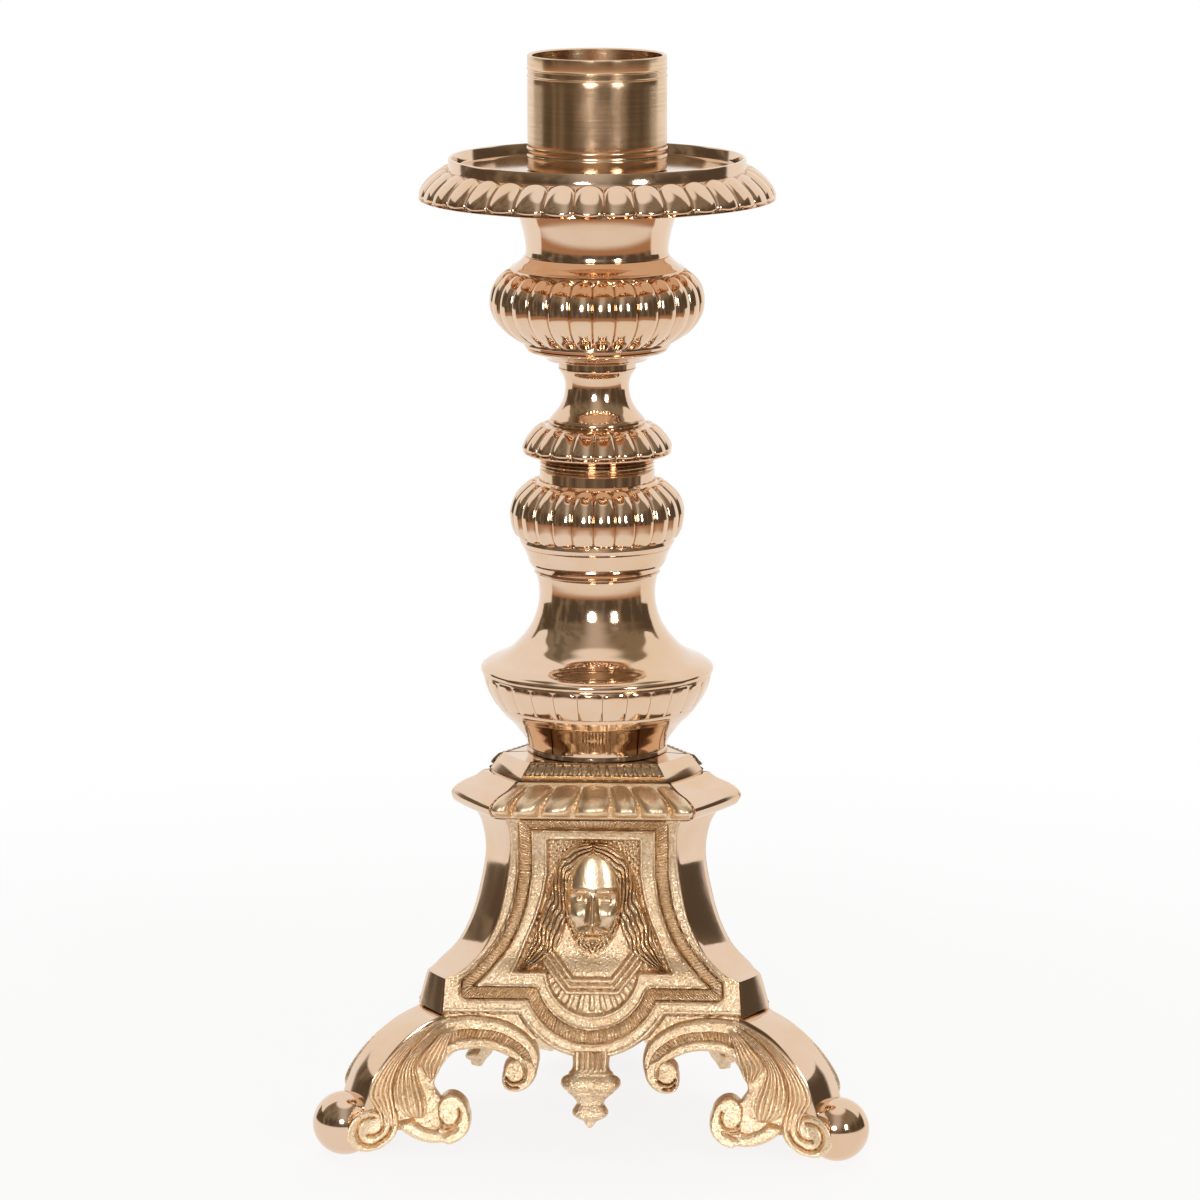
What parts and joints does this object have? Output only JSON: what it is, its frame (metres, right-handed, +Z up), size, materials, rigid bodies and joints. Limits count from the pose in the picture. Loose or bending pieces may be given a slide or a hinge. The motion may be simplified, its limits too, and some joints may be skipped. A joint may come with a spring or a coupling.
{
  "type": "altar candlestick",
  "caption": "Turned and cast brass altar candlestick: triangular scroll-footed base with relief panels, knopped stem, lobed drip pan and round candle socket that lift off.",
  "frame": {"origin": "on the table, in the middle of the box round the whole object", "axes": "+Z up the stem; the front face with its toe on each side looks along -Y; the third toe is at +Y"},
  "size_m": [0.179, 0.159, 0.35],
  "materials": {
    "polished_brass": "polished, warm, lightly brushed",
    "cast_brass": "cast relief, satin, with darker recesses and rubbed edges",
    "plain_steel": "plain, hidden"
  },
  "bodies": {
    "stand": {"face_casting_front": "cast_brass", "face_casting_right": "cast_brass", "face_casting_left": "cast_brass", "corner_strip_front_right": "polished_brass", "corner_strip_back": "polished_brass", "corner_strip_front_left": "polished_brass", "scroll_foot_front_right": "cast_brass", "scroll_foot_back": "cast_brass", "scroll_foot_front_left": "cast_brass", "ball_toe_front_right": "polished_brass", "ball_toe_back": "polished_brass", "ball_toe_front_left": "polished_brass", "base_cap": "polished_brass", "cap_plate": "polished_brass", "lobed_bowl": "polished_brass", "vase": "polished_brass", "vase_collar": "polished_brass", "lower_knop": "polished_brass", "knop_collar": "polished_brass", "canopy": "polished_brass", "spool": "polished_brass", "spool_ring": "polished_brass", "upper_knop": "polished_brass", "knop_band": "polished_brass", "neck": "polished_brass", "tie_rod": "plain_steel", "stem_nut": "plain_steel", "base_washer": "plain_steel", "base_nut": "plain_steel"},
    "pan": {"drip_pan": "polished_brass"},
    "socket": {"candle_socket": "polished_brass"}
  },
  "joints": [
    {"name": "pan_lift", "type": "slide", "parent": "stand", "child": "pan", "axis": [0, 0, 1], "range_m": [0, 0.06]},
    {"name": "socket_lift", "type": "slide", "parent": "pan", "child": "socket", "axis": [0, 0, 1], "range_m": [0, 0.05]}
  ]
}
